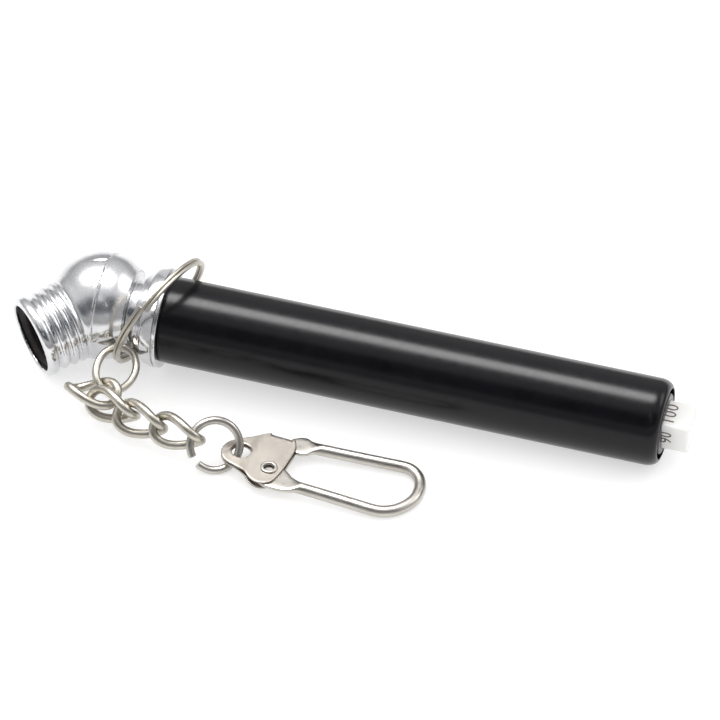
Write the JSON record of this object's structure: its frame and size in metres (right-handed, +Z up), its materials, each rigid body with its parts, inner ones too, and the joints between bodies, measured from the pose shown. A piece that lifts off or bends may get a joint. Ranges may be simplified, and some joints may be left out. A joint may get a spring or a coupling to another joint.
{
  "type": "tire pressure gauge",
  "caption": "Pencil tire pressure gauge with angled chrome ball head, glossy black barrel, sliding square indicator bar, and a curb-link keychain with a snap clip.",
  "frame": {"origin": "on the table, at the middle of the whole part's length and width as it lies", "axes": "+X runs from the ball head towards the indicator end, along the table; +Y away from the keychain side; +Z up"},
  "size_m": [0.0994, 0.0328, 0.0183],
  "materials": {
    "plated_casting": "polished die-casting, slightly wavy",
    "black_rubber": "matte",
    "brass_fitting": "turned",
    "black_barrel": "gloss black paint on drawn tube",
    "piston_plastic": "moulded",
    "white_bar": "moulded, dark printed scale",
    "spring_steel": "drawn",
    "black_plastic": "moulded",
    "felt_pad": "felt",
    "nickel_wire": "bright nickel plate",
    "nickel_sheet": "satin nickel plate, stamped"
  },
  "bodies": {
    "gauge": {"head_casting": "plated_casting", "chuck_liner": "black_rubber", "chuck_seal": "black_rubber", "valve_pin": "brass_fitting", "barrel_tube": "black_barrel", "spigot_oring": "black_rubber", "spring": "spring_steel", "spring_seat": "spring_steel", "end_bush": "black_plastic", "friction_pad": "felt_pad"},
    "piston": {"piston": "piston_plastic", "piston_cup": "black_rubber"},
    "indicator_bar": {"indicator_bar": "white_bar"},
    "split_ring": {"split_ring": "nickel_wire"},
    "jump_ring_oval": {"jump_ring_oval": "nickel_wire"},
    "curb_link_1": {"curb_link_1": "nickel_wire"},
    "curb_link_2": {"curb_link_2": "nickel_wire"},
    "curb_link_3": {"curb_link_3": "nickel_wire"},
    "curb_link_4": {"curb_link_4": "nickel_wire"},
    "jump_ring_open": {"jump_ring_open": "nickel_wire"},
    "clip": {"clip_plate": "nickel_sheet", "clip_rivet": "nickel_sheet"},
    "clip_gate": {"clip_gate": "nickel_wire"}
  },
  "joints": [
    {"name": "piston_slide", "type": "slide", "parent": "gauge", "child": "piston", "axis": [0.9998, 0, -0.0183], "range_m": [0, 0.033], "deforming": ["spring"]},
    {"name": "bar_slide", "type": "slide", "parent": "gauge", "child": "indicator_bar", "axis": [0.9998, 0, -0.0183], "range_m": [0, 0.033]},
    {"name": "split_ring_swing", "type": "hinge", "parent": "gauge", "child": "split_ring", "pos_m": [-0.03208, 0.00765, 0.00771], "axis": [0.9998, 0, -0.0183], "range_deg": [-40, 0]},
    {"name": "jump_ring_oval_swing", "type": "hinge", "parent": "split_ring", "child": "jump_ring_oval", "pos_m": [-0.03265, -0.00048, 0.0066], "axis": [0, 0, 1], "range_deg": [-4, 1.5]},
    {"name": "curb_link_1_swing", "type": "hinge", "parent": "jump_ring_oval", "child": "curb_link_1", "pos_m": [-0.03334, -0.00481, 0.00491], "axis": [0, 0, 1], "range_deg": [-5, 2]},
    {"name": "curb_link_2_swing", "type": "hinge", "parent": "curb_link_1", "child": "curb_link_2", "pos_m": [-0.03432, -0.00835, 0.00411], "axis": [0, 0, 1], "range_deg": [-20, 2]},
    {"name": "curb_link_3_swing", "type": "hinge", "parent": "curb_link_2", "child": "curb_link_3", "pos_m": [-0.02823, -0.01024, 0.00583], "axis": [0, 0, 1], "range_deg": [-10, 1.5]},
    {"name": "curb_link_4_swing", "type": "hinge", "parent": "curb_link_3", "child": "curb_link_4", "pos_m": [-0.02304, -0.01083, 0.00542], "axis": [0, 0, 1], "range_deg": [-14, 1.5]},
    {"name": "jump_ring_open_swing", "type": "hinge", "parent": "curb_link_4", "child": "jump_ring_open", "pos_m": [-0.01733, -0.01212, 0.00501], "axis": [0, 0, 1], "range_deg": [-15, 3]},
    {"name": "clip_swing", "type": "hinge", "parent": "jump_ring_open", "child": "clip", "pos_m": [-0.0111, -0.01061, 0.00231], "axis": [0.0549, -0.0033, 0.9985], "range_deg": [-10, 3]},
    {"name": "gate_hinge", "type": "hinge", "parent": "clip", "child": "clip_gate", "pos_m": [-0.00635, -0.0129, 0.00204], "axis": [0.0549, -0.0033, 0.9985], "range_deg": [-60, 0]}
  ],
  "couplings": [
    {"joint": "bar_slide", "follows": "piston_slide", "ratio": 1}
  ]
}
